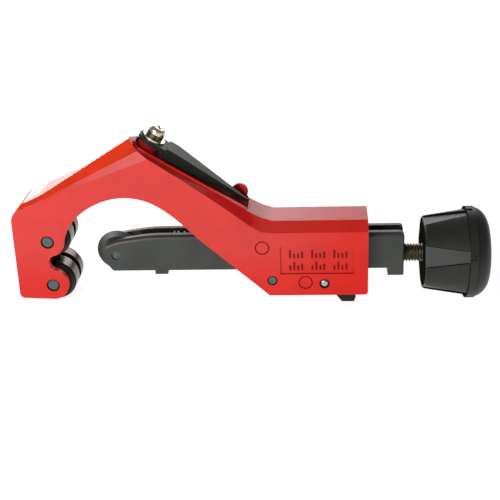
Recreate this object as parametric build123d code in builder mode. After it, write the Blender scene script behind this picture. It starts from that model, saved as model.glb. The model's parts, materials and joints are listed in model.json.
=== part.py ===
from build123d import *
from math import cos, radians, sin, tan
import os

os.makedirs("parts", exist_ok=True)

# Every length is in millimetres. X runs from the head to the knob, Y from the
# shown side to the far side, Z up. The origin is the centre of a held 16 mm tube.

# Tube and jaw
roller_x = -13.9  # axis of both rollers
roller_z = 12.75  # height of each roller axis above or below the jaw centre
roller_radius = 11.0
roller_pin_radius = 3.0
wheel_x = 20.4  # axis of the cutting wheel at rest
wheel_z = 1.1
wheel_radius = 11.4
running_gap = 0.05  # radial clearance of a turning fit

# Frame
half_width = 15.0
crest_half_width = 9.2
rear_x = 155.4
bottom_z = -20.0
crest_z = 21.0
ledge_z = 16.4
roller_gap_half = 11.8
panel_depth = 0.8
ring_marks = ((99.9, 8.0), (122.4, -12.4))
ring_mark_radius = 3.8

# Slide and screw
screw_z = -2.4
screw_radius = 5.0
slide_half_width = 7.8
slide_bottom_z = -7.8
slide_top_z = 12.3
slide_rear_x = 174.6
passage_gap = 0.3
trough_half_width = 3.2
trough_floor_z = 6.0
channel_half_width = 5.3

# Release lever
pivot_x = 132.4
pivot_z = -13.3
stop_pin_x = 104.8
stop_pin_z = -11.2
cross_pin_radius = 2.15
lever_half_width = 4.5
slot_half_width = 5.0

# Knob
knob_front_x = 184.8
knob_ring_x = 207.0
knob_cap_x = 211.3
knob_end_x = 219.8
knob_front_radius = 19.7
knob_ring_radius = 24.5
flute_count = 5
flute_first = 17.0  # degrees above the shown side
flute_radius = 17.95  # distance of each flat from the axis, at the front
flute_tilt = 9.8

# Reamer, in a plane that lies on the diagonal arm
arm_slope = 32.4
arm_x = 42.0
arm_z = 60.0
reamer_gap = 0.3
tab_low = 3.0
tab_top = 5.2
rail_end = 59.5
rail_half_width = 9.0
rail_height = 1.0
tray_half_width = 7.6
tray_depth = 1.2
boss_radius = 6.0
boss_top = 2.7
ear_radius = 4.5
ear_along = 54.0
reamer_screw_radius = 2.5

arm_normal = (sin(radians(arm_slope)), 0, cos(radians(arm_slope)))
arm_along = (cos(radians(arm_slope)), 0, -sin(radians(arm_slope)))
arm_plane = Plane(origin=(arm_x, 0, arm_z), x_dir=arm_along, z_dir=arm_normal)
side_plane = Plane.XZ  # normal points to -Y, its local Y axis is world Z
ear_plane = Plane(
    origin=(arm_x + ear_along * arm_along[0], tray_half_width, arm_z + ear_along * arm_along[2]),
    x_dir=arm_along, z_dir=(0, 1, 0),
)


def axle_plane(x, z, y):
    """A plane across the tool at y, centred on an axis that runs along Y."""
    return Plane(origin=(x, y, z), x_dir=(1, 0, 0), z_dir=(0, 1, 0))


def axis_plane(x, z):
    """A plane square to X, centred on an axis that runs along X."""
    return Plane(origin=(x, 0, z), x_dir=(0, 1, 0), z_dir=(1, 0, 0))


def on_arm(x):
    """A point on the crest of the diagonal arm, below the top of the reamer's rails."""
    return (x, round(arm_z - rail_height - tan(radians(arm_slope)) * (x - arm_x), 2))


# ---------------------------------------------------------------- frame
# left arm: a roof whose flat top narrows towards the apex, over a bevel that widens towards it
roof_front_x = -17.0
roof_rear_x = 45.0
apex_x = 32.2
roof_clear_y = half_width + 2
roof_clear_z = 120.0


def roof_top(x):
    """Height of the roof's top."""
    return 45.93 + 0.601 * x


def roof_outline(x, side):
    """What is cut off one side of the left arm at x: its lower line is the bevel, then the roof."""
    top_z, top_half = roof_top(x), 3.27 - 0.07 * x
    foot_z = 43.0 + 0.435 * x
    slope = (top_z - foot_z) / (half_width - top_half)
    bevel = 0.06 * (x - roof_front_x)
    return [
        (side * roof_clear_y, foot_z - bevel - (roof_clear_y - half_width) * (1 + slope)),
        (side * (half_width - bevel), foot_z + bevel * slope), (side * top_half, top_z),
        (side * top_half, roof_clear_z), (side * roof_clear_y, roof_clear_z),
    ]


# right arm and housing: the crest slopes from its foot, at the full width, in to its ridge
crest_foot = [
    (-20.0, 99.0), (40.5, 60.2), (49.6, 53.9), (59.4, 47.1), (79.1, 32.5), (94.1, 20.5),
    (99.2, 17.3), (104.3, ledge_z), (rear_x + 3, ledge_z),
]
crest_ridge = [
    on_arm(-20.0), on_arm(42.0), on_arm(50.6), on_arm(63.9), on_arm(83.9), on_arm(94.0),
    (99.5, 23.0), (105.5, crest_z), (rear_x + 3, crest_z),
]


def crest_outline(y):
    """The crest's line at a distance y from the middle plane, closed high above the tool."""
    share = (y - crest_half_width) / (half_width - crest_half_width)
    line = [
        (ridge[0] + share * (foot[0] - ridge[0]), ridge[1] + share * (foot[1] - ridge[1]))
        for foot, ridge in zip(crest_foot, crest_ridge)
    ]
    return line + [(rear_x + 3, 120.0), (-20.0, 120.0)]


with BuildPart() as frame:
    with BuildSketch(side_plane):
        with BuildLine():
            Polyline((-25.0, 32.2), (roof_front_x, roof_top(roof_front_x)), (apex_x, roof_top(apex_x)),
                     *crest_ridge[2:-1], (rear_x, crest_z), (rear_x, bottom_z + 1.8))
            ThreePointArc((rear_x, bottom_z + 1.8), (154.9, bottom_z + 0.5), (rear_x - 1.8, bottom_z))
            Polyline((rear_x - 1.8, bottom_z), (103.2, bottom_z), (67.5, 12.8))
            Spline((67.5, 12.8), (53.7, 26.7), (41.8, 34.7), (29.6, 37.4), (16.8, 35.1),
                   (5.5, 28.8), (-2.5, 19.5), (-5.5, 10.3))
            ThreePointArc((-5.5, 10.3), (-7.8, 6.6), (-11.3, 4.8))
            ThreePointArc((-11.3, 4.8), (-14.5, 0.5), (-11.8, -3.6))
            ThreePointArc((-11.8, -3.6), (-5.4, -12.8), (-14.0, -21.0))
            Line((-14.0, -21.0), (-29.8, -20.2))
            ThreePointArc((-29.8, -20.2), (-32.1, -19.3), (-32.8, -17.0))
            Line((-32.8, -17.0), (-31.8, 24.5))
            ThreePointArc((-31.8, 24.5), (-30.0, 29.3), (-25.0, 32.2))
        make_face()
    extrude(amount=half_width, both=True)
    for side in (-1, 1):
        with BuildSketch(Plane.XZ.offset(side * (half_width + 1))):
            Polygon(*crest_outline(half_width + 1), align=None)
        with BuildSketch(Plane.XZ.offset(side * (crest_half_width - 1))):
            Polygon(*crest_outline(crest_half_width - 1), align=None)
        loft(ruled=True, mode=Mode.SUBTRACT)
        for x in (roof_front_x, roof_rear_x):
            with BuildSketch(Plane.YZ.offset(x)):
                Polygon(*roof_outline(x, side), align=None)
        loft(ruled=True, mode=Mode.SUBTRACT)
    # rails round a shallow tray for the folded reamer, a boss under its tab and an ear that stops it
    with BuildSketch(arm_plane.offset(-2.5)):
        Circle(rail_half_width)
        with Locations((rail_end / 2, 0)):
            Rectangle(rail_end, 2 * rail_half_width)
    extrude(amount=2.5)
    with BuildSketch(arm_plane.offset(-tray_depth)):
        Circle(tray_half_width)
        with Locations((rail_end / 2 + 0.5, 0)):
            Rectangle(rail_end + 1, 2 * tray_half_width)
    extrude(amount=tray_depth + 5, mode=Mode.SUBTRACT)
    with BuildSketch(arm_plane.offset(-tray_depth - 1)):
        Circle(boss_radius)
    extrude(amount=boss_top + tray_depth + 1)
    with BuildSketch(ear_plane):
        Circle(ear_radius)
    extrude(amount=crest_half_width - tray_half_width)
    # space for the rollers between the two cheeks
    with BuildSketch(side_plane):
        Polygon((-28.0, -26.0), (6.0, -26.0), (6.0, 24.6), (-28.0, 24.6), align=None)
    extrude(amount=roller_gap_half, both=True, mode=Mode.SUBTRACT)
    # passage for the slide, then the slot for the release lever
    with BuildSketch(side_plane):
        Polygon((40.0, slide_bottom_z - passage_gap), (148.0, slide_bottom_z - passage_gap),
                (148.0, -12.6), (160.0, -12.6), (160.0, slide_top_z + passage_gap),
                (40.0, slide_top_z + passage_gap), align=None)
    extrude(amount=slide_half_width + passage_gap, both=True, mode=Mode.SUBTRACT)
    with BuildSketch(side_plane):
        Polygon((60.0, -24.0), (151.5, -24.0), (151.5, 0.0), (60.0, 0.0), align=None)
    extrude(amount=slot_half_width, both=True, mode=Mode.SUBTRACT)
    # seat in the roof that the slide spring pushes on
    with BuildSketch(side_plane):
        Polygon((98.0, 6.6), (101.5, 6.6), (101.5, 13.5), (98.0, 13.5), align=None)
    extrude(amount=2.8, both=True)
    # pin holes, each with a shallow recess round the pin's end
    for x, z, radius in (
        (roller_x, roller_z, roller_pin_radius), (roller_x, -roller_z, roller_pin_radius),
        (pivot_x, pivot_z, cross_pin_radius), (stop_pin_x, stop_pin_z, cross_pin_radius),
    ):
        with BuildSketch(axle_plane(x, z, 0)):
            Circle(radius)
        extrude(amount=20, both=True, mode=Mode.SUBTRACT)
        for side in (-1, 1):
            with BuildSketch(axle_plane(x, z, side * half_width)):
                Circle(radius + 0.6)
            extrude(amount=-side * 0.9, mode=Mode.SUBTRACT)
    with BuildSketch(arm_plane.offset(boss_top)):
        Circle(reamer_screw_radius)
    extrude(amount=-12 - boss_top, mode=Mode.SUBTRACT)
    # shallow rectangular panel and two ring marks on the shown side
    with BuildSketch(axle_plane(128.6, 0.45, -half_width)):
        Rectangle(38.8, 15.9)
    extrude(amount=panel_depth, mode=Mode.SUBTRACT)
    with BuildSketch(side_plane.offset(half_width)):
        with Locations(*ring_marks):
            Circle(ring_mark_radius)
        with Locations(*ring_marks):
            Circle(ring_mark_radius - 0.6, mode=Mode.SUBTRACT)
    extrude(amount=-0.5, mode=Mode.SUBTRACT)
frame.part.label = "frame"
export_step(frame.part, "parts/frame.step")


# ---------------------------------------------------------------- rollers
roller_half_length = 11.4


def roller(z):
    """A roller with a wide groove for a flared end, a thin oil groove and a rounded near end."""
    bore = roller_pin_radius + running_gap
    with BuildPart() as made:
        with BuildSketch(axis_plane(roller_x, z)):
            Polygon((-roller_half_length, bore), (-roller_half_length, 9.4), (-10.2, 10.2), (-8.9, 10.6),
                    (-8.9, 9.9), (-7.9, 9.9), (-7.9, roller_radius), (0.3, roller_radius), (0.3, 9.0),
                    (4.8, 9.0), (4.8, roller_radius), (roller_half_length - 0.5, roller_radius),
                    (roller_half_length, roller_radius - 0.5), (roller_half_length, bore), align=None)
        revolve(axis=Axis((roller_x, 0, z), (0, 1, 0)))
    return made


def roller_pin(z):
    """A plain pin through both cheeks."""
    with BuildPart() as made:
        with BuildSketch(axle_plane(roller_x, z, 0)):
            Circle(roller_pin_radius)
        extrude(amount=half_width - 0.2, both=True)
        chamfer(made.edges(), 0.4)
    return made


for name, z in (("upper", roller_z), ("lower", -roller_z)):
    roller_part = roller(z)
    roller_part.part.label = name + "_roller"
    export_step(roller_part.part, "parts/" + name + "_roller.step")
    pin_part = roller_pin(z)
    pin_part.part.label = name + "_roller_pin"
    export_step(pin_part.part, "parts/" + name + "_roller_pin.step")

# ---------------------------------------------------------------- slide
wheel_slot_half = 3.3
edge_round = 2.4
rear_wall_x = 166.0
channel_front_x = 70.0
wheel_pin_radius = 2.5

with BuildPart() as slide:
    with BuildSketch(side_plane):
        with BuildLine():
            Polyline((48.0, slide_top_z), (slide_rear_x, slide_top_z), (slide_rear_x, -12.1),
                     (166.1, -12.1), (166.1, slide_bottom_z), (48.0, slide_bottom_z), (48.0, -10.1),
                     (41.1, -10.1), (41.1, slide_bottom_z), (18.4, slide_bottom_z))
            ThreePointArc((18.4, slide_bottom_z), (14.4, 0.8), (15.6, 7.4))
            Spline((15.6, 7.4), (19.7, 9.0), (25.5, 10.3), (34.0, 11.5), (48.0, slide_top_z),
                   tangents=((2.0, 1.0), (1.0, 0.0)))
        make_face()
    extrude(amount=slide_half_width, both=True)
    fillet(slide.edges().filter_by(Axis.Z).group_by(Axis.X)[-1], 1.0)
    long_top = slide.edges().filter_by(Axis.X).group_by(Axis.Z)[-1]
    fillet(long_top, edge_round)
    # slot for the wheel
    with BuildSketch(side_plane):
        Polygon((0.0, -12.0), (33.5, -12.0), (33.5, 14.0), (0.0, 14.0), align=None)
    extrude(amount=wheel_slot_half, both=True, mode=Mode.SUBTRACT)
    # open trough on top with a low wall that holds the spring
    with BuildSketch(side_plane):
        Polygon((33.0, trough_floor_z), (48.0, trough_floor_z), (48.0, 9.4), (51.0, 9.4),
                (51.0, trough_floor_z), (180.0, trough_floor_z), (180.0, 14.0), (33.0, 14.0), align=None)
    extrude(amount=trough_half_width, both=True, mode=Mode.SUBTRACT)
    # channel for the screw, open below
    with BuildSketch(axis_plane(channel_front_x, screw_z)):
        Circle(channel_half_width)
        with Locations((0, -6.0)):
            Rectangle(2 * channel_half_width, 12.0)
    extrude(amount=rear_wall_x - channel_front_x, mode=Mode.SUBTRACT)
    with BuildSketch(axis_plane(rear_wall_x, screw_z)):
        Circle(screw_radius + running_gap)
    extrude(amount=12, mode=Mode.SUBTRACT)
    with BuildSketch(axle_plane(wheel_x, wheel_z, 0)):
        Circle(wheel_pin_radius)
    extrude(amount=10, both=True, mode=Mode.SUBTRACT)
slide.part.label = "slide"
export_step(slide.part, "parts/slide.step")

with BuildPart() as cutter_wheel:
    with BuildSketch(axis_plane(wheel_x, wheel_z)):
        Polygon((-3.0, wheel_pin_radius + running_gap), (3.0, wheel_pin_radius + running_gap),
                (3.0, 4.6), (1.4, 5.0), (1.3, 8.6), (0.12, wheel_radius), (-0.12, wheel_radius),
                (-1.3, 8.6), (-1.4, 5.0), (-3.0, 4.6), align=None)
    revolve(axis=Axis((wheel_x, 0, wheel_z), (0, 1, 0)))
cutter_wheel.part.label = "cutter_wheel"
export_step(cutter_wheel.part, "parts/cutter_wheel.step")

with BuildPart() as wheel_pin:
    with BuildSketch(axle_plane(wheel_x, wheel_z, -6.9)):
        Circle(wheel_pin_radius)
    extrude(amount=16.1)
    with BuildSketch(axle_plane(wheel_x, wheel_z, 7.85)):
        Circle(wheel_pin_radius + 1)
        Circle(wheel_pin_radius - 0.5, mode=Mode.SUBTRACT)
    extrude(amount=0.7, mode=Mode.SUBTRACT)
wheel_pin.part.label = "wheel_pin"
export_step(wheel_pin.part, "parts/wheel_pin.step")

with BuildPart() as wheel_pin_clip:
    with BuildSketch(axle_plane(wheel_x, wheel_z, 7.9)):
        Circle(4.2)
        Circle(wheel_pin_radius - 0.45, mode=Mode.SUBTRACT)
        with Locations((0, -3.5)):
            Rectangle(3.2, 4.0, mode=Mode.SUBTRACT)
    extrude(amount=0.6)
wheel_pin_clip.part.label = "wheel_pin_clip"
export_step(wheel_pin_clip.part, "parts/wheel_pin_clip.step")

# ---------------------------------------------------------------- screw and knob
screw_tip_x = 72.0
screw_end_x = 204.0
collar_groove_x = 163.8
collar_width = 1.6
knob_pin_x = 193.0
knob_pin_radius = 1.5

with BuildPart() as feed_screw:
    with BuildSketch(axis_plane(screw_tip_x, screw_z)):
        Circle(screw_radius)
    extrude(amount=screw_end_x - screw_tip_x)
    chamfer(feed_screw.edges().group_by(Axis.X)[0], 1.2)
    with BuildSketch(axis_plane(collar_groove_x, screw_z)):
        Circle(screw_radius + 1)
        Circle(screw_radius - 0.9, mode=Mode.SUBTRACT)
    extrude(amount=collar_width, mode=Mode.SUBTRACT)
    with BuildSketch(Plane(origin=(knob_pin_x, 0, screw_z))):
        Circle(knob_pin_radius)
    extrude(amount=10, both=True, mode=Mode.SUBTRACT)
feed_screw.part.label = "feed_screw"
export_step(feed_screw.part, "parts/feed_screw.step")

with BuildPart() as screw_collar:
    with BuildSketch(axis_plane(collar_groove_x + 0.1, screw_z)):
        Circle(screw_radius + 0.1)
        Circle(screw_radius - 0.88, mode=Mode.SUBTRACT)
        with Locations((0, -4.5)):
            Rectangle(3.0, 5.0, mode=Mode.SUBTRACT)
    extrude(amount=collar_width - 0.2)
screw_collar.part.label = "screw_collar"
export_step(screw_collar.part, "parts/screw_collar.step")

with BuildPart() as thrust_pad:
    with BuildSketch(axis_plane(channel_front_x, screw_z)):
        Circle(4.6)
    extrude(amount=1.8)
    chamfer(thrust_pad.edges().group_by(Axis.X)[-1], 0.4)
thrust_pad.part.label = "thrust_pad"
export_step(thrust_pad.part, "parts/thrust_pad.step")

knob_line = Axis((0, 0, screw_z), (1, 0, 0))

with BuildPart() as knob_body:
    with BuildSketch(side_plane):
        with BuildLine():
            Polyline((knob_front_x, screw_z), (knob_front_x, screw_z + knob_front_radius - 0.8),
                     (knob_front_x + 0.8, screw_z + knob_front_radius), (knob_ring_x, screw_z + 22.9),
                     (knob_ring_x, screw_z + knob_ring_radius), (knob_cap_x, screw_z + knob_ring_radius),
                     (knob_cap_x, screw_z), (knob_front_x, screw_z))
        make_face()
    revolve(axis=knob_line)
    # tapered flats, widest at the front
    for step in range(flute_count):
        turn = radians(flute_first + step * 360 / flute_count)
        tilt = radians(flute_tilt)
        flat = Plane(
            origin=(knob_front_x, -flute_radius * cos(turn), screw_z + flute_radius * sin(turn)),
            x_dir=(cos(tilt), -cos(turn) * sin(tilt), sin(turn) * sin(tilt)),
            z_dir=(-sin(tilt), -cos(turn) * cos(tilt), sin(turn) * cos(tilt)),
        )
        with BuildSketch(flat):
            Polygon((-2.0, -6.2), (22.8, -3.1), (22.8, 3.1), (-2.0, 6.2), align=None)
        extrude(amount=6.0, mode=Mode.SUBTRACT)
    # a shallow notch in the ring behind each flat
    with BuildSketch(axis_plane(knob_ring_x - 1, screw_z)):
        with PolarLocations(knob_ring_radius, flute_count, start_angle=180 - flute_first):
            Rectangle(1.4, 3.0)
    extrude(amount=4.0, mode=Mode.SUBTRACT)
    with BuildSketch(axis_plane(knob_front_x, screw_z)):
        Circle(screw_radius)
    extrude(amount=screw_end_x - knob_front_x, mode=Mode.SUBTRACT)
    with BuildSketch(Plane(origin=(knob_pin_x, 0, screw_z))):
        Circle(knob_pin_radius)
    extrude(amount=11, both=True, mode=Mode.SUBTRACT)
knob_body.part.label = "knob_body"
export_step(knob_body.part, "parts/knob_body.step")

with BuildPart() as knob_cap:
    with BuildSketch(side_plane):
        with BuildLine():
            Line((knob_cap_x, screw_z + 20.5), (knob_cap_x, screw_z + 24.1))
            ThreePointArc((knob_cap_x, screw_z + 24.1), (216.3, screw_z + 21.2), (218.9, screw_z + 14.6))
            ThreePointArc((218.9, screw_z + 14.6), (219.55, screw_z + 10.5), (knob_end_x, screw_z + 6.5))
            Polyline((knob_end_x, screw_z + 6.5), (knob_end_x, screw_z), (217.0, screw_z),
                     (216.4, screw_z + 13.0), (knob_cap_x, screw_z + 20.5))
        make_face()
    revolve(axis=knob_line)
knob_cap.part.label = "knob_cap"
export_step(knob_cap.part, "parts/knob_cap.step")

with BuildPart() as knob_pin:
    with BuildSketch(Plane(origin=(knob_pin_x, 0, screw_z))):
        Circle(knob_pin_radius)
    extrude(amount=10.5, both=True)
knob_pin.part.label = "knob_pin"
export_step(knob_pin.part, "parts/knob_pin.step")

# ---------------------------------------------------------------- release lever
half_nut_top = -5.2
half_nut_floor = -11.0

with BuildPart() as release_lever:
    with BuildSketch(side_plane):
        with BuildLine():
            Polyline((129.0, -9.6), (126.0, -9.2), (119.6, -9.2), (119.6, half_nut_floor),
                     (108.6, half_nut_floor), (108.6, -15.6), (126.0, -15.6), (133.0, -18.6),
                     (136.6, -22.5), (141.8, -29.6), (148.5, -29.6), (149.4, -27.0), (149.4, -20.0),
                     (147.5, -17.5), (141.0, -14.5), (136.4, -11.0))
            ThreePointArc((136.4, -11.0), (132.8, -8.9), (129.0, -9.6))
        make_face()
    extrude(amount=lever_half_width, both=True)
    with BuildSketch(axle_plane(pivot_x, pivot_z, 0)):
        Circle(cross_pin_radius + running_gap)
    extrude(amount=10, both=True, mode=Mode.SUBTRACT)
release_lever.part.label = "release_lever"
export_step(release_lever.part, "parts/release_lever.step")

with BuildPart() as half_nut:
    with BuildSketch(side_plane):
        Polygon((109.0, half_nut_floor), (119.5, half_nut_floor), (119.5, half_nut_top),
                (109.0, half_nut_top), align=None)
    extrude(amount=lever_half_width, both=True)
    with BuildSketch(axis_plane(100.0, screw_z)):
        Circle(screw_radius + running_gap)
    extrude(amount=30, mode=Mode.SUBTRACT)
half_nut.part.label = "half_nut"
export_step(half_nut.part, "parts/half_nut.step")

for name, x, z, end_round in (
    ("lever_pivot_pin", pivot_x, pivot_z, 1.2), ("lever_stop_pin", stop_pin_x, stop_pin_z, 0.3),
):
    with BuildPart() as cross_pin:
        with BuildSketch(axle_plane(x, z, 0)):
            Circle(cross_pin_radius)
        extrude(amount=half_width - 0.1, both=True)
        fillet(cross_pin.edges(), end_round)
    cross_pin.part.label = name
    export_step(cross_pin.part, "parts/" + name + ".step")

# leaf spring: a curl on the front pin and a tongue under the half nut
leaf_thickness = 0.5
leaf_half_width = 3.5
curl_radius = cross_pin_radius + 0.1 + leaf_thickness / 2
leaf_z = -16.15

with BuildPart() as lever_spring:
    with BuildSketch(side_plane):
        with BuildLine() as leaf_line:
            ThreePointArc((stop_pin_x + curl_radius, stop_pin_z), (stop_pin_x, stop_pin_z + curl_radius),
                          (stop_pin_x - curl_radius, stop_pin_z))
            Line((stop_pin_x - curl_radius, stop_pin_z), (stop_pin_x - curl_radius, leaf_z + 1.2))
            ThreePointArc((stop_pin_x - curl_radius, leaf_z + 1.2),
                          (stop_pin_x - curl_radius + 0.35, leaf_z + 0.35),
                          (stop_pin_x - curl_radius + 1.2, leaf_z))
            Line((stop_pin_x - curl_radius + 1.2, leaf_z), (118.0, leaf_z))
        trace(line_width=leaf_thickness)
    extrude(amount=leaf_half_width, both=True)
lever_spring.part.label = "lever_spring"
export_step(lever_spring.part, "parts/lever_spring.step")

# ---------------------------------------------------------------- slide spring
spring_front_x = 51.6
spring_rear_x = 97.4
spring_radius = 2.25
spring_wire = 0.35
spring_turns = 15
spring_z = 8.95

with BuildPart() as slide_spring:
    with BuildLine():
        coil = Helix(pitch=(spring_rear_x - spring_front_x) / spring_turns,
                     height=spring_rear_x - spring_front_x, radius=spring_radius,
                     center=(spring_front_x, 0, spring_z), direction=(1, 0, 0))
    with BuildSketch(Plane(origin=coil @ 0, z_dir=coil % 0)):
        Circle(spring_wire)
    sweep(path=coil)
slide_spring.part.label = "slide_spring"
export_step(slide_spring.part, "parts/slide_spring.step")

# ---------------------------------------------------------------- reamer
tab_radius = 7.4
block_start = 8.6
blade_root = 14.0
blade_tip = 59.0
block_half_width = 6.6
block_top = 6.2

with BuildPart() as reamer_blade:
    with BuildSketch(arm_plane.offset(tab_low)):
        Circle(tab_radius)
        Polygon((0.0, -tab_radius), (block_start + 1, -block_half_width), (block_start + 1, block_half_width),
                (0.0, tab_radius), align=None)
    extrude(amount=tab_top - tab_low)
    with BuildSketch(arm_plane.offset(reamer_gap)):
        Polygon((block_start, -block_half_width), (blade_root, -block_half_width), (blade_tip, -0.7),
                (blade_tip, 0.7), (blade_root, block_half_width), (block_start, block_half_width), align=None)
    extrude(amount=block_top - reamer_gap)
    # the blade thins towards its tip
    with BuildSketch(Plane(origin=arm_plane.origin, x_dir=arm_along, z_dir=(0, -1, 0))):
        Polygon((blade_root, block_top + 1), (blade_root, block_top), (blade_tip + 1, 1.4),
                (blade_tip + 1, block_top + 1), align=None)
    extrude(amount=12, both=True, mode=Mode.SUBTRACT)
    with BuildSketch(arm_plane):
        Circle(reamer_screw_radius + 0.1)
    extrude(amount=10, mode=Mode.SUBTRACT)
reamer_blade.part.label = "reamer_blade"
export_step(reamer_blade.part, "parts/reamer_blade.step")

flat_washer_low = tab_top + 0.15
lock_washer_low = flat_washer_low + 1.02
head_low = lock_washer_low + 2.4
head_radius = 4.3
head_height = 3.2

with BuildPart() as reamer_flat_washer:
    with BuildSketch(arm_plane.offset(flat_washer_low)):
        Circle(6.2)
        Circle(reamer_screw_radius + 0.1, mode=Mode.SUBTRACT)
    extrude(amount=1.0)
reamer_flat_washer.part.label = "reamer_flat_washer"
export_step(reamer_flat_washer.part, "parts/reamer_flat_washer.step")

with BuildPart() as reamer_lock_washer:
    with BuildSketch(arm_plane.offset(lock_washer_low)):
        Circle(4.5)
        Circle(reamer_screw_radius + 0.1, mode=Mode.SUBTRACT)
        with Locations((0, -3.6)):
            Rectangle(0.6, 4.0, rotation=30, mode=Mode.SUBTRACT)
    extrude(amount=2.3)
reamer_lock_washer.part.label = "reamer_lock_washer"
export_step(reamer_lock_washer.part, "parts/reamer_lock_washer.step")

with BuildPart() as reamer_screw:
    with BuildSketch(arm_plane.offset(-11.5)):
        Circle(reamer_screw_radius)
    extrude(amount=head_low + 11.5)
    with BuildSketch(arm_plane.offset(head_low)):
        Circle(head_radius)
    extrude(amount=head_height)
    fillet(reamer_screw.edges().group_by(Axis(arm_plane.origin, arm_plane.z_dir))[-1], 2.0)
    with BuildSketch(arm_plane.offset(head_low + head_height)):
        Rectangle(4.6, 1.0, rotation=20)
        Rectangle(1.0, 4.6, rotation=20)
    extrude(amount=-1.6, mode=Mode.SUBTRACT)
reamer_screw.part.label = "reamer_screw"
export_step(reamer_screw.part, "parts/reamer_screw.step")
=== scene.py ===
"""Pipe cutter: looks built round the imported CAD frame."""
import json
import math

import bpy
import numpy as np
from mathutils import Matrix, Vector

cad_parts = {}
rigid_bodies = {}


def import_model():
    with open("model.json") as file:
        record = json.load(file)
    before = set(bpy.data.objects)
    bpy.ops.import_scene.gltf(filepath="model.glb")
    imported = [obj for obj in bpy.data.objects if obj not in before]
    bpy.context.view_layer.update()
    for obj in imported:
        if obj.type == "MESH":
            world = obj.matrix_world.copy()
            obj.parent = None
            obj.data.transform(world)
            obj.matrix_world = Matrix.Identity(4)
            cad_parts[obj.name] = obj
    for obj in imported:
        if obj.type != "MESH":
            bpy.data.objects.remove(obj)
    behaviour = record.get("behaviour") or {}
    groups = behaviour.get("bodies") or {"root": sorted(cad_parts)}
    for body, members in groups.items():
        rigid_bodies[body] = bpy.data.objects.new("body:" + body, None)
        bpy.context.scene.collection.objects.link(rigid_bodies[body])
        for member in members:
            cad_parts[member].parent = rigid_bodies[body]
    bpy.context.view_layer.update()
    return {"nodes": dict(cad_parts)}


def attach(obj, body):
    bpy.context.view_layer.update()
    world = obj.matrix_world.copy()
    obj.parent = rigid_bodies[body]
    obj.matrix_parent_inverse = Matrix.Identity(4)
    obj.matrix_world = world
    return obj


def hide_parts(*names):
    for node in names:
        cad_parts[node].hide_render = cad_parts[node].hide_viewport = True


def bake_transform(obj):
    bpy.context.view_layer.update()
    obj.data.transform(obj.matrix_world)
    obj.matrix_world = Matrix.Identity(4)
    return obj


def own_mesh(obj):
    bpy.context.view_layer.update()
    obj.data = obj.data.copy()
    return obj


bpy.ops.object.select_all(action="SELECT")
bpy.ops.object.delete()
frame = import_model()
nodes = frame["nodes"]
MM = 0.001

# places on the CAD frame, in millimetres
ROLLER_X, ROLLER_Z = -13.9, 12.75
WHEEL_X, WHEEL_Z = 20.4, 1.1
PIVOT_X, PIVOT_Z = 132.4, -13.3
STOP_PIN_X, STOP_PIN_Z = 104.8, -11.2
SCREW_Z = -2.4
COIL_Z = 8.95
COIL_REAR_X = 97.4
KNOB_FRONT_X = 184.8
FLAT_COUNT = 5
FLAT_RADIUS = 17.95
HOUSING_SIDE_Y = 15.0
SLIDE_SIDE_Y = 7.8
ARM_SLOPE = math.radians(32.4)
ARM_TOP = Vector((42.0, 0, 60.0))


# ---------------------------------------------------------------- camera
def make_camera():
    azimuth, elevation, roll = math.radians(4.3), math.radians(25.0), math.radians(2.5)
    distance = 0.530
    target = Vector((0.0924, 0.0, 0.0))
    away = Vector((math.sin(azimuth) * math.cos(elevation), -math.cos(azimuth) * math.cos(elevation),
                   math.sin(elevation)))
    data = bpy.data.cameras.new("camera")
    data.sensor_width = 36.0
    data.lens = 978.0 / 500.0 * data.sensor_width
    data.clip_start, data.clip_end = 0.01, 20
    cam = bpy.data.objects.new("camera", data)
    bpy.context.scene.collection.objects.link(cam)
    turn = (-away).to_track_quat("-Z", "Y").to_matrix().to_4x4()
    cam.matrix_world = (Matrix.Translation(target + away * distance) @ turn
                        @ Matrix.Rotation(-roll, 4, "Z"))
    bpy.context.scene.camera = cam


make_camera()


# ---------------------------------------------------------------- materials
def position_ramp(nt, co, axis, low, high, at_low, at_high):
    """A value that goes smoothly from at_low to at_high as x, y or z goes from low to high (metres)."""
    split = nt.nodes.new("ShaderNodeSeparateXYZ")
    nt.links.new(co.outputs["Object"], split.inputs["Vector"])
    ramp = nt.nodes.new("ShaderNodeMapRange")
    ramp.interpolation_type = "SMOOTHSTEP"
    ramp.inputs["From Min"].default_value = low
    ramp.inputs["From Max"].default_value = high
    ramp.inputs["To Min"].default_value = at_low
    ramp.inputs["To Max"].default_value = at_high
    nt.links.new(split.outputs[axis], ramp.inputs["Value"])
    return ramp.outputs["Result"]


def painted_highlight_beyond_ridge(nt, co):
    """Painted highlight: zero on the shown side of the left arm's ridge line, one beyond it, where the back
    light glances.
    """
    split = nt.nodes.new("ShaderNodeSeparateXYZ")
    nt.links.new(co.outputs["Object"], split.inputs["Vector"])
    line = nt.nodes.new("ShaderNodeMath")
    line.operation = "MULTIPLY_ADD"
    nt.links.new(split.outputs["X"], line.inputs[0])
    line.inputs[1].default_value = -0.07
    line.inputs[2].default_value = 0.00327
    past = nt.nodes.new("ShaderNodeMath")
    past.operation = "ADD"
    nt.links.new(split.outputs["Y"], past.inputs[0])
    nt.links.new(line.outputs["Value"], past.inputs[1])
    ramp = nt.nodes.new("ShaderNodeMapRange")
    ramp.inputs["From Min"].default_value = -0.0004
    ramp.inputs["From Max"].default_value = 0.0004
    nt.links.new(past.outputs["Value"], ramp.inputs["Value"])
    return ramp.outputs["Result"]


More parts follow.
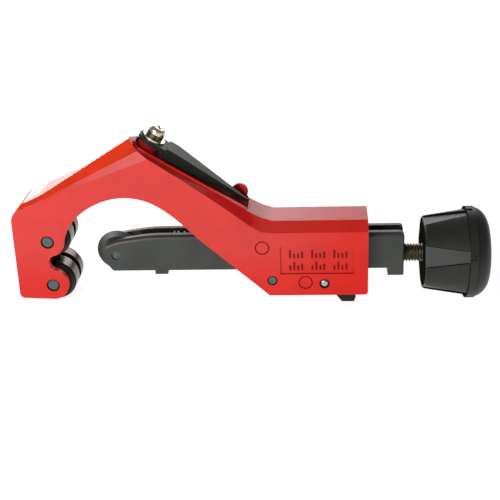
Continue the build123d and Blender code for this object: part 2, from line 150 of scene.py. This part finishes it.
def edge_shade(nt, color, amount):
    """Painted shade: darkens the rounded edges round a side face, standing in for the room's darker parts
    seen in them.
    """
    geo = nt.nodes.new("ShaderNodeNewGeometry")
    split = nt.nodes.new("ShaderNodeSeparateXYZ")
    nt.links.new(geo.outputs["Normal"], split.inputs["Vector"])
    sideways = nt.nodes.new("ShaderNodeMath")
    sideways.operation = "ABSOLUTE"
    nt.links.new(split.outputs["Y"], sideways.inputs[0])
    band = nt.nodes.new("ShaderNodeValToRGB")
    band.color_ramp.elements[0].position = 0.10
    band.color_ramp.elements[0].color = (0, 0, 0, 1)
    band.color_ramp.elements[1].position = 0.999
    band.color_ramp.elements[1].color = (0, 0, 0, 1)
    for place in (0.30, 0.96):
        middle = band.color_ramp.elements.new(place)
        middle.color = (1, 1, 1, 1)
    nt.links.new(sideways.outputs["Value"], band.inputs["Fac"])
    level = nt.nodes.new("ShaderNodeMapRange")
    level.inputs["From Min"].default_value = 0.25
    level.inputs["From Max"].default_value = 0.05
    level.inputs["To Max"].default_value = amount
    nt.links.new(split.outputs["Z"], level.inputs["Value"])
    both = nt.nodes.new("ShaderNodeMath")
    both.operation = "MULTIPLY"
    nt.links.new(band.outputs["Color"], both.inputs[0])
    nt.links.new(level.outputs["Result"], both.inputs[1])
    mix = nt.nodes.new("ShaderNodeMix")
    mix.data_type = "RGBA"
    nt.links.new(both.outputs["Value"], mix.inputs["Factor"])
    nt.links.new(color, mix.inputs["A"])
    mix.inputs["B"].default_value = (0.03, 0.002, 0.002, 1)
    return mix.outputs["Result"]


ROUGH_SHIFT = 0.08  # how far the fine grain moves the roughness either way


def material(name, color, rough, metal=0.0, spec=0.5, grain=900.0, bump=0.1, bump_dist=0.00005,
             blotch=60.0, shift=0.12, shade=0.0, painted_reflection_fade=False, ridge=False):
    """A finish with broad blotches of colour (shift) and a fine grain in roughness and bump."""
    mat = bpy.data.materials.new(name)
    mat.use_nodes = True
    nt = mat.node_tree
    bsdf = nt.nodes["Principled BSDF"]
    bsdf.inputs["Metallic"].default_value = metal
    bsdf.inputs["Specular IOR Level"].default_value = spec
    co = nt.nodes.new("ShaderNodeTexCoord")
    fine = nt.nodes.new("ShaderNodeTexNoise")
    fine.inputs["Scale"].default_value = grain
    fine.inputs["Detail"].default_value = 5
    nt.links.new(co.outputs["Object"], fine.inputs["Vector"])
    broad = nt.nodes.new("ShaderNodeTexNoise")
    broad.inputs["Scale"].default_value = blotch
    broad.inputs["Detail"].default_value = 3
    nt.links.new(co.outputs["Object"], broad.inputs["Vector"])
    ramp = nt.nodes.new("ShaderNodeValToRGB")
    dark = [c * (1 - shift) for c in color]
    light = [min(1, c * (1 + shift)) for c in color]
    ramp.color_ramp.elements[0].position = 0.3
    ramp.color_ramp.elements[0].color = (*dark, 1)
    ramp.color_ramp.elements[1].position = 0.7
    ramp.color_ramp.elements[1].color = (*light, 1)
    nt.links.new(broad.outputs["Fac"], ramp.inputs["Fac"])
    out = ramp.outputs["Color"]
    # painted shade on the rounded edges, from edge_shade
    if shade:
        out = edge_shade(nt, out, shade)
    nt.links.new(out, bsdf.inputs["Base Color"])
    rr = nt.nodes.new("ShaderNodeMapRange")
    rr.inputs["To Min"].default_value = max(0, rough - ROUGH_SHIFT)
    rr.inputs["To Max"].default_value = min(1, rough + ROUGH_SHIFT)
    nt.links.new(fine.outputs["Fac"], rr.inputs["Value"])
    nt.links.new(rr.outputs["Result"], bsdf.inputs["Roughness"])
    bp = nt.nodes.new("ShaderNodeBump")
    bp.inputs["Strength"].default_value = bump
    bp.inputs["Distance"].default_value = bump_dist
    nt.links.new(fine.outputs["Fac"], bp.inputs["Height"])
    nt.links.new(bp.outputs["Normal"], bsdf.inputs["Normal"])
    # painted highlight: the specular level follows the ridge line instead of being even
    if ridge:
        nt.links.new(painted_highlight_beyond_ridge(nt, co), bsdf.inputs["Specular IOR Level"])
    # painted reflection: the specular level drops towards the bottom and towards the right end, standing in
    # for a weaker floor reflection there
    if painted_reflection_fade:
        across = position_ramp(nt, co, "X", 0.105, 0.150, 1.0, 0.45)
        upward = position_ramp(nt, co, "Z", -0.018, 0.012, 0.45 * spec, spec)
        both = nt.nodes.new("ShaderNodeMath")
        both.operation = "MULTIPLY"
        nt.links.new(across, both.inputs[0])
        nt.links.new(upward, both.inputs[1])
        nt.links.new(both.outputs["Value"], bsdf.inputs["Specular IOR Level"])
    return mat


# the red paint, with painted shade on its rounded edges and a painted reflection that weakens towards the
# bottom and right
red = material("red_paint", (0.60, 0.016, 0.010), 0.36, spec=0.55, grain=1500, bump=0.3,
               bump_dist=0.00006, shift=0.07, shade=0.7, painted_reflection_fade=True)
# painted light: a lighter, more orange copy of the red paint for the left arm's slopes
red_roof_painted_light = material("red_roof_painted_light", (0.78, 0.045, 0.014), 0.36, grain=1500, bump=0.3,
                    bump_dist=0.00006, shift=0.10, ridge=True)
# painted shade: a duller, darker-looking copy of the red paint for the right arm's sloping sides
red_crest_painted_shade = material("red_crest_painted_shade", (0.62, 0.012, 0.014), 0.5, spec=0.12, grain=1500, bump=0.3)
# painted shade: a dark copy of the red paint for recesses, the tray under the reamer and the panel marks
red_shade = material("red_shade", (0.22, 0.006, 0.005), 0.7, spec=0.04, grain=1500, bump=0.3)
slide_black = material("slide_black", (0.024, 0.028, 0.024), 0.42, spec=0.5, grain=1600, bump=0.35,
                       bump_dist=0.00007, shift=0.25)
knob_black = material("knob_black", (0.015, 0.017, 0.012), 0.45, spec=0.27, grain=1800, bump=0.25,
                      bump_dist=0.00005, shift=0.2)
# painted light: a lighter, glossier copy of the knob's black for its flats
knob_flat_painted_light = material("knob_flat_painted_light", (0.030, 0.034, 0.031), 0.42, spec=0.5, grain=1800, bump=0.25,
                      bump_dist=0.00005, shift=0.2)
cap_black = material("cap_black", (0.012, 0.015, 0.012), 0.45, spec=0.28, grain=1800, bump=0.25,
                     bump_dist=0.00005, shift=0.2)
lever_black = material("lever_black", (0.010, 0.012, 0.006), 0.5, spec=0.2, grain=1500, bump=0.2)
roller_steel = material("roller_steel", (0.11, 0.10, 0.085), 0.26, metal=0.95, grain=1200, shift=0.3)
# painted shade: near-black for the pin recesses, the slide's trough and the rollers' grooves
recess_painted_shade = material("recess_painted_shade", (0.010, 0.009, 0.007), 0.5, spec=0.2)
# painted shadow: glossless black for the knob's front, the seams of its flats and the wheel pin hole
shadow_black = material("shadow_black", (0.007, 0.007, 0.006), 0.8, spec=0.0)
wheel_steel = material("wheel_steel", (0.05, 0.053, 0.048), 0.42, metal=0.5, grain=1200, shift=0.3)
pin_steel = material("pin_steel", (0.085, 0.11, 0.105), 0.5, metal=0.5, grain=2500, bump=0.5, shift=0.3,
                     blotch=900)
bright_steel = material("bright_steel", (0.42, 0.44, 0.36), 0.25, metal=0.95, grain=2500, bump=0.4)
screw_steel = material("screw_steel", (0.10, 0.085, 0.055), 0.38, metal=0.8, grain=2200, bump=0.4,
                       blotch=1200, shift=0.5)
spring_steel = material("spring_steel", (0.5, 0.5, 0.48), 0.3, metal=0.9)
blade_steel = material("blade_steel", (0.045, 0.048, 0.034), 0.5, metal=0.2, spec=0.45, grain=1500, bump=0.3)
# painted shade: a darker copy of the blade steel for the reamer's side faces
blade_side_painted_shade = material("blade_side_painted_shade", (0.008, 0.010, 0.006), 0.5, spec=0.15, grain=1500, bump=0.3)
zinc = material("zinc", (0.62, 0.58, 0.45), 0.24, metal=1.0, grain=800)
# painted shade: a dark copy of the zinc for the lock washer between the screw head and the flat washer
zinc_painted_shade = material("zinc_painted_shade", (0.10, 0.09, 0.06), 0.35, metal=0.9, grain=800)
brass = material("brass", (0.7, 0.5, 0.2), 0.3, metal=1.0)

LOOKS = {
    "frame": red, "upper_roller": roller_steel, "lower_roller": roller_steel,
    "upper_roller_pin": pin_steel, "lower_roller_pin": pin_steel, "slide": slide_black,
    "cutter_wheel": wheel_steel, "wheel_pin": pin_steel, "wheel_pin_clip": spring_steel,
    "feed_screw": screw_steel, "screw_collar": spring_steel, "thrust_pad": brass,
    "knob_body": knob_black, "knob_cap": cap_black, "knob_pin": pin_steel,
    "release_lever": lever_black, "half_nut": pin_steel, "lever_pivot_pin": bright_steel,
    "lever_stop_pin": pin_steel, "lever_spring": spring_steel, "slide_spring": spring_steel,
    "reamer_blade": blade_steel, "reamer_flat_washer": zinc, "reamer_lock_washer": zinc_painted_shade,
    "reamer_screw": zinc,
}
for name, look in LOOKS.items():
    nodes[name].data.materials.clear()
    nodes[name].data.materials.append(look)


def repaint(name, look, chosen):
    """Gives another material to the faces of a CAD node for which chosen(centre in mm, normal) is true."""
    mesh = nodes[name].data
    mesh.materials.append(look)
    for face in mesh.polygons:
        if chosen(face.center * 1000.0, face.normal):
            face.material_index = len(mesh.materials) - 1


def near_axis(x, z, low, high):
    """True between two distances from an axis that runs along Y."""
    return lambda c, n: low < math.hypot(c.x - x, c.z - z) < high


PIN_RECESSES = [near_axis(ROLLER_X, ROLLER_Z, 0, 3.8), near_axis(ROLLER_X, -ROLLER_Z, 0, 3.8),
                near_axis(PIVOT_X, PIVOT_Z, 0, 2.9), near_axis(STOP_PIN_X, STOP_PIN_Z, 0, 2.9)]
RING_MARKS = [near_axis(99.9, 8.0, 3.0, 3.95), near_axis(122.4, -12.4, 3.0, 3.95)]


# painted shade in the sunk rings round the frame's pins
def in_pin_recess(c, n):
    sunk = HOUSING_SIDE_Y - 1.1 < abs(c.y) < HOUSING_SIDE_Y - 0.02
    return sunk and any(near(c, n) for near in PIN_RECESSES)


def in_cut_mark(c, n):
    """Painted shade on the walls of the sunk panel and the grooves of the two ring marks."""
    wall = 108.8 < c.x < 148.4 and -7.9 < c.z < 8.8 and abs(n.y) < 0.5
    sunk = -HOUSING_SIDE_Y + 0.02 < c.y < -HOUSING_SIDE_Y + 0.9
    return sunk and (wall or any(near(c, n) for near in RING_MARKS))


def on_roof(c, n):
    """The two slopes of the left arm and the flat between them, down to the front corner; they get painted
    light.
    """
    return c.x < 34 and c.z > 30 and n.x < 0 and n.z > 0.5 and abs(n.y) < 0.6


def on_arm_crest(c, n):
    """The sloping sides of the right arm below the reamer's rails, which get painted shade."""
    return 38 < c.x < 96 and c.z > 17 and n.x > 0.1 and n.z > 0.3 and abs(n.y) > 0.3


# painted shade in the wheel pin's hole in the slide
def in_wheel_pin_hole(c, n):
    return 6.5 < abs(c.y) < SLIDE_SIDE_Y - 0.05 and near_axis(WHEEL_X, WHEEL_Z, 0, 2.7)(c, n)


def flat_axes(step):
    """Origin, forward and outward directions of one of the knob's tapered flats."""
    turn, tilt = math.radians(17.0 + step * 360.0 / FLAT_COUNT), math.radians(9.8)
    origin = Vector((KNOB_FRONT_X, -FLAT_RADIUS * math.cos(turn), SCREW_Z + FLAT_RADIUS * math.sin(turn)))
    forward = Vector((math.cos(tilt), -math.cos(turn) * math.sin(tilt), math.sin(turn) * math.sin(tilt)))
    outward = Vector((-math.sin(tilt), -math.cos(turn) * math.cos(tilt), math.sin(turn) * math.cos(tilt)))
    return origin, forward, outward


# the knob's flats, which get painted light
def on_knob_flat(c, n):
    return any(n.dot(flat_axes(step)[2]) > 0.9995 for step in range(FLAT_COUNT))


ARM_UP = Vector((math.sin(ARM_SLOPE), 0, math.cos(ARM_SLOPE)))
ARM_ALONG = Vector((math.cos(ARM_SLOPE), 0, -math.sin(ARM_SLOPE)))


def in_tray(c, n):
    """Painted shade on the shallow tray that the reamer folds into, with the boss under its tab."""
    offset = c - ARM_TOP
    return -1.4 < offset.dot(ARM_UP) < 2.6 and -7.8 < offset.dot(ARM_ALONG) < 59.4 and abs(c.y) < 7.7


def knob_shadow(c, n):
    """Painted shadow on the knob's front face and the thin walls beside its flats."""
    outward = Vector((0, c.y, c.z - SCREW_Z)).normalized()
    return n.x < -0.9 or (c.x < 206.8 and abs(n.dot(outward)) < 0.6)


repaint("frame", recess_painted_shade, in_pin_recess)
repaint("frame", red_shade, in_cut_mark)
repaint("frame", red_roof_painted_light, on_roof)
repaint("frame", red_crest_painted_shade, on_arm_crest)
repaint("frame", red_shade, in_tray)
# painted shade on the reamer's side faces
repaint("reamer_blade", blade_side_painted_shade, lambda c, n: n.dot(ARM_UP) < 0.3)
# painted shade inside the slide's trough
repaint("slide", recess_painted_shade, lambda c, n: abs(c.y) < 3.25 and c.z > 5.9)
repaint("slide", shadow_black, in_wheel_pin_hole)
repaint("knob_body", shadow_black, knob_shadow)
repaint("knob_body", knob_flat_painted_light, on_knob_flat)
# painted shade in the rollers' grooves
for name, z in (("upper_roller", ROLLER_Z), ("lower_roller", -ROLLER_Z)):
    repaint(name, recess_painted_shade, near_axis(ROLLER_X, z, 3.2, 10.7))


def soften(name, width, segments=3, angle=28):
    """Rounds a node's edges with modifiers, so its own mesh stays as it was imported."""
    obj = nodes[name]
    weld = obj.modifiers.new("weld", "WELD")
    weld.merge_threshold = 0.00001
    flat = obj.modifiers.new("flat", "DECIMATE")
    flat.decimate_type = "DISSOLVE"
    flat.angle_limit = math.radians(0.6)
    flat.delimit = {"MATERIAL"}
    bevel = obj.modifiers.new("bevel", "BEVEL")
    bevel.width = width
    bevel.segments = segments
    bevel.limit_method = "ANGLE"
    bevel.angle_limit = math.radians(angle)
    bevel.use_clamp_overlap = True
    even = obj.modifiers.new("even", "WEIGHTED_NORMAL")
    even.weight = 100
    for face in obj.data.polygons:
        face.use_smooth = True


soften("frame", 0.0009, angle=20)
for name in ("slide", "release_lever", "reamer_blade"):
    soften(name, 0.0005)
soften("knob_body", 0.0005, angle=20)
soften("knob_cap", 0.0004)


# ---------------------------------------------------------------- new pieces
BOX_FACES = ((0, 1, 3, 2), (4, 6, 7, 5), (0, 4, 5, 1), (2, 3, 7, 6), (0, 2, 6, 4), (1, 5, 7, 3))


def mesh_piece(name, verts, faces, look, body, smooth=True):
    """A new mesh piece that moves with a CAD body, or with none when no body is given."""
    mesh = bpy.data.meshes.new(name)
    mesh.from_pydata(verts, [], faces)
    mesh.materials.append(look)
    mesh.validate()
    for face in mesh.polygons:
        face.use_smooth = smooth
    obj = bpy.data.objects.new(name, mesh)
    bpy.context.scene.collection.objects.link(obj)
    if body:
        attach(obj, body)
    return obj


def threaded_screw():
    """The feed screw with its M10 x 1.5 thread cut along the part in front of the knob."""
    start, plain, end = 72.0, KNOB_FRONT_X, 204.0
    outer, depth, pitch, around = 4.98, 0.85, 1.5, 36
    stations = list(np.arange(start, plain, pitch / 8)) + [plain, plain + 0.1, end]
    verts, faces = [], []
    for x in stations:
        for j in range(around):
            angle = 2 * math.pi * j / around
            phase = (x / pitch - j / around) % 1.0
            cut = max(0.0, min(1.0, 1.25 - 2.5 * abs(phase - 0.5)))
            r = outer - depth * cut
            if x > plain:
                r = outer
            if 163.8 < x < 165.4:
                r = 4.1
            r = min(r, 3.9 + (x - start) * 0.8)
            verts.append((x * MM, r * math.cos(angle) * MM, (SCREW_Z + r * math.sin(angle)) * MM))
    for i in range(len(stations) - 1):
        for j in range(around):
            k = (j + 1) % around
            faces.append((i * around + j, i * around + k, (i + 1) * around + k, (i + 1) * around + j))
    faces.append(tuple(reversed(range(around))))
    last = (len(stations) - 1) * around
    faces.append(tuple(last + j for j in range(around)))
    obj = mesh_piece("feed_screw_thread", verts, faces, screw_steel, "knob_assembly")
    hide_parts("feed_screw")
    return obj


def coil(name, x0, x1, z, radius, wire, turns, look):
    """A round-wire spring with closed end coils."""
    verts, faces = [], []
    steps, sides = turns * 28, 10
    length = x1 - x0
    for i in range(steps + 1):
        t = i / steps
        turn = t * turns * 2 * math.pi
        ease = min(1.0, max(0.0, (t - 0.04) / 0.92))
        x = x0 + wire + (length - 2 * wire) * (0.06 * t + 0.94 * ease)
        c, sn = math.cos(turn), math.sin(turn)
        for j in range(sides):
            a = 2 * math.pi * j / sides
            r = radius + wire * math.cos(a)
            verts.append(((x + wire * math.sin(a)) * MM, r * c * MM, (z + r * sn) * MM))
    for i in range(steps):
        for j in range(sides):
            k = (j + 1) % sides
            faces.append((i * sides + j, (i + 1) * sides + j, (i + 1) * sides + k, i * sides + k))
    faces.append(tuple(range(sides)))
    faces.append(tuple(reversed([steps * sides + j for j in range(sides)])))
    return mesh_piece(name, verts, faces, look, "frame_body")


def leaf_spring():
    """The lever's leaf spring as a fine strip."""
    pin_x, pin_z, curl, tongue_z = STOP_PIN_X, STOP_PIN_Z, 2.49, -16.15
    path = []
    for i in range(25):
        angle = math.pi * i / 24
        path.append((pin_x + curl * math.cos(angle), pin_z + curl * math.sin(angle)))
    for i in range(9):
        angle = math.pi + 0.5 * math.pi * i / 8
        path.append((pin_x - curl + 1.2 + 1.2 * math.cos(angle), tongue_z + 1.2 + 1.2 * math.sin(angle)))
    path += [(float(x), tongue_z) for x in np.linspace(103.9, 110.0, 20)]
    path += [(112.0, tongue_z), (115.0, tongue_z), (117.9, tongue_z)]
    verts, faces = [], []
    for i, (x, z) in enumerate(path):
        before, after = path[max(i - 1, 0)], path[min(i + 1, len(path) - 1)]
        along = Vector((after[0] - before[0], after[1] - before[1])).normalized()
        for y in (-3.48, 3.48):
            for side in (-0.24, 0.24):
                verts.append(((x - along.y * side) * MM, y * MM, (z + along.x * side) * MM))
    for i in range(len(path) - 1):
        for j, k in ((0, 1), (1, 3), (3, 2), (2, 0)):
            faces.append((4 * i + j, 4 * i + k, 4 * i + 4 + k, 4 * i + 4 + j))
    last = 4 * (len(path) - 1)
    faces += [(0, 2, 3, 1), (last, last + 1, last + 3, last + 2)]
    return mesh_piece("leaf_spring_strip", verts, faces, spring_steel, None, smooth=False)


def boxes(name, items, look, body):
    """Several small blocks as one piece; each item is (x0, x1, y0, y1, z0, z1) in millimetres."""
    verts, faces = [], []
    for x0, x1, y0, y1, z0, z1 in items:
        base = len(verts)
        for x in (x0, x1):
            for y in (y0, y1):
                for z in (z0, z1):
                    verts.append((x * MM, y * MM, z * MM))
        for f in BOX_FACES:
            faces.append(tuple(base + k for k in f))
    obj = mesh_piece(name, verts, faces, look, body, smooth=False)
    soft = obj.modifiers.new("bevel", "BEVEL")
    soft.width = 0.00015
    soft.segments = 2
    return obj


threaded_screw()
spring = coil("return_spring", 51.6, COIL_REAR_X, COIL_Z, 2.25, 0.34, 15, spring_steel)
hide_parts("slide_spring")
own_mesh(spring)

leaf = leaf_spring()
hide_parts("lever_spring")
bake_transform(leaf)

# painted shade: dark strips where the knob's flats meet the round
lines = []
line_faces = []
for step in range(FLAT_COUNT):
    origin, forward, outward = flat_axes(step)
    across = outward.cross(forward)
    for side in (-1, 1):
        base = len(lines)
        for along, half in ((0.6, 5.9), (22.0, 3.2)):
            for inner in (0.0, 0.4):
                for lift in (-0.05, 0.06):
                    point = origin + along * forward + side * (half - inner) * across + lift * outward
                    lines.append(tuple(point * MM))
        for f in BOX_FACES:
            line_faces.append(tuple(base + k for k in f))
mesh_piece("knob_flat_painted_shade_lines", lines, line_faces, shadow_black, "knob_assembly",
           smooth=False)

# raised graduation marks in the sunk panel on the shown side, in the dark red of painted shade
marks = []
for row, (low, lengths) in enumerate(((1.6, (4.6, 2.6, 2.6, 3.6)), (-5.4, (2.6, 4.6, 2.6, 3.6)))):
    for group in range(3):
        for step in range(4):
            x = 114.0 + group * 11.6 + step * 2.1
            marks.append((x, x + 0.75, -14.75, -14.15, low, low + lengths[step]))
boxes("panel_marks", marks, red_shade, "frame_body")


# ---------------------------------------------------------------- studio
def make_floor():
    tilt = math.radians(2.25)
    bpy.ops.mesh.primitive_plane_add(size=6.0, location=(0.10, 0.0, -0.0279), rotation=(0, tilt, 0))
    floor = bpy.context.object
    floor.name = "studio_floor"
    mat = bpy.data.materials.new("studio_white")
    mat.use_nodes = True
    nt = mat.node_tree
    bsdf = nt.nodes["Principled BSDF"]
    bsdf.inputs["Base Color"].default_value = (0.35, 0.35, 0.35, 1)
    bsdf.inputs["Specular IOR Level"].default_value = 0.0
    bsdf.inputs["Roughness"].default_value = 0.9
    bsdf.inputs["Emission Color"].default_value = (1, 1, 1, 1)
    bsdf.inputs["Emission Strength"].default_value = 0.86
    floor.data.materials.append(mat)


def area(name, place, aim, size, power):
    data = bpy.data.lights.new(name, "AREA")
    data.shape = "RECTANGLE"
    data.size, data.size_y = size
    data.energy = power
    light = bpy.data.objects.new(name, data)
    bpy.context.scene.collection.objects.link(light)
    light.location = place
    light.rotation_euler = (Vector(aim) - Vector(place)).to_track_quat("-Z", "Y").to_euler()


make_floor()
centre = (0.09, 0.0, 0.02)
area("key_light", (-0.38, -0.72, 0.40), centre, (0.55, 0.4), 5.6)
area("card_light", (-0.42, -0.85, 0.14), centre, (0.35, 0.2), 1.0)
area("back_light", (0.05, 1.1, 0.55), centre, (1.3, 0.5), 5.5)
area("rim_light", (-0.50, 1.0, 0.28), (0.0, 0.0, 0.05), (0.25, 0.25), 2.5)
world = bpy.data.worlds.new("studio")
bpy.context.scene.world = world
world.use_nodes = True
world.node_tree.nodes["Background"].inputs["Color"].default_value = (1, 1, 1, 1)
world.node_tree.nodes["Background"].inputs["Strength"].default_value = 0.25
bpy.context.scene.view_settings.view_transform = "Standard"
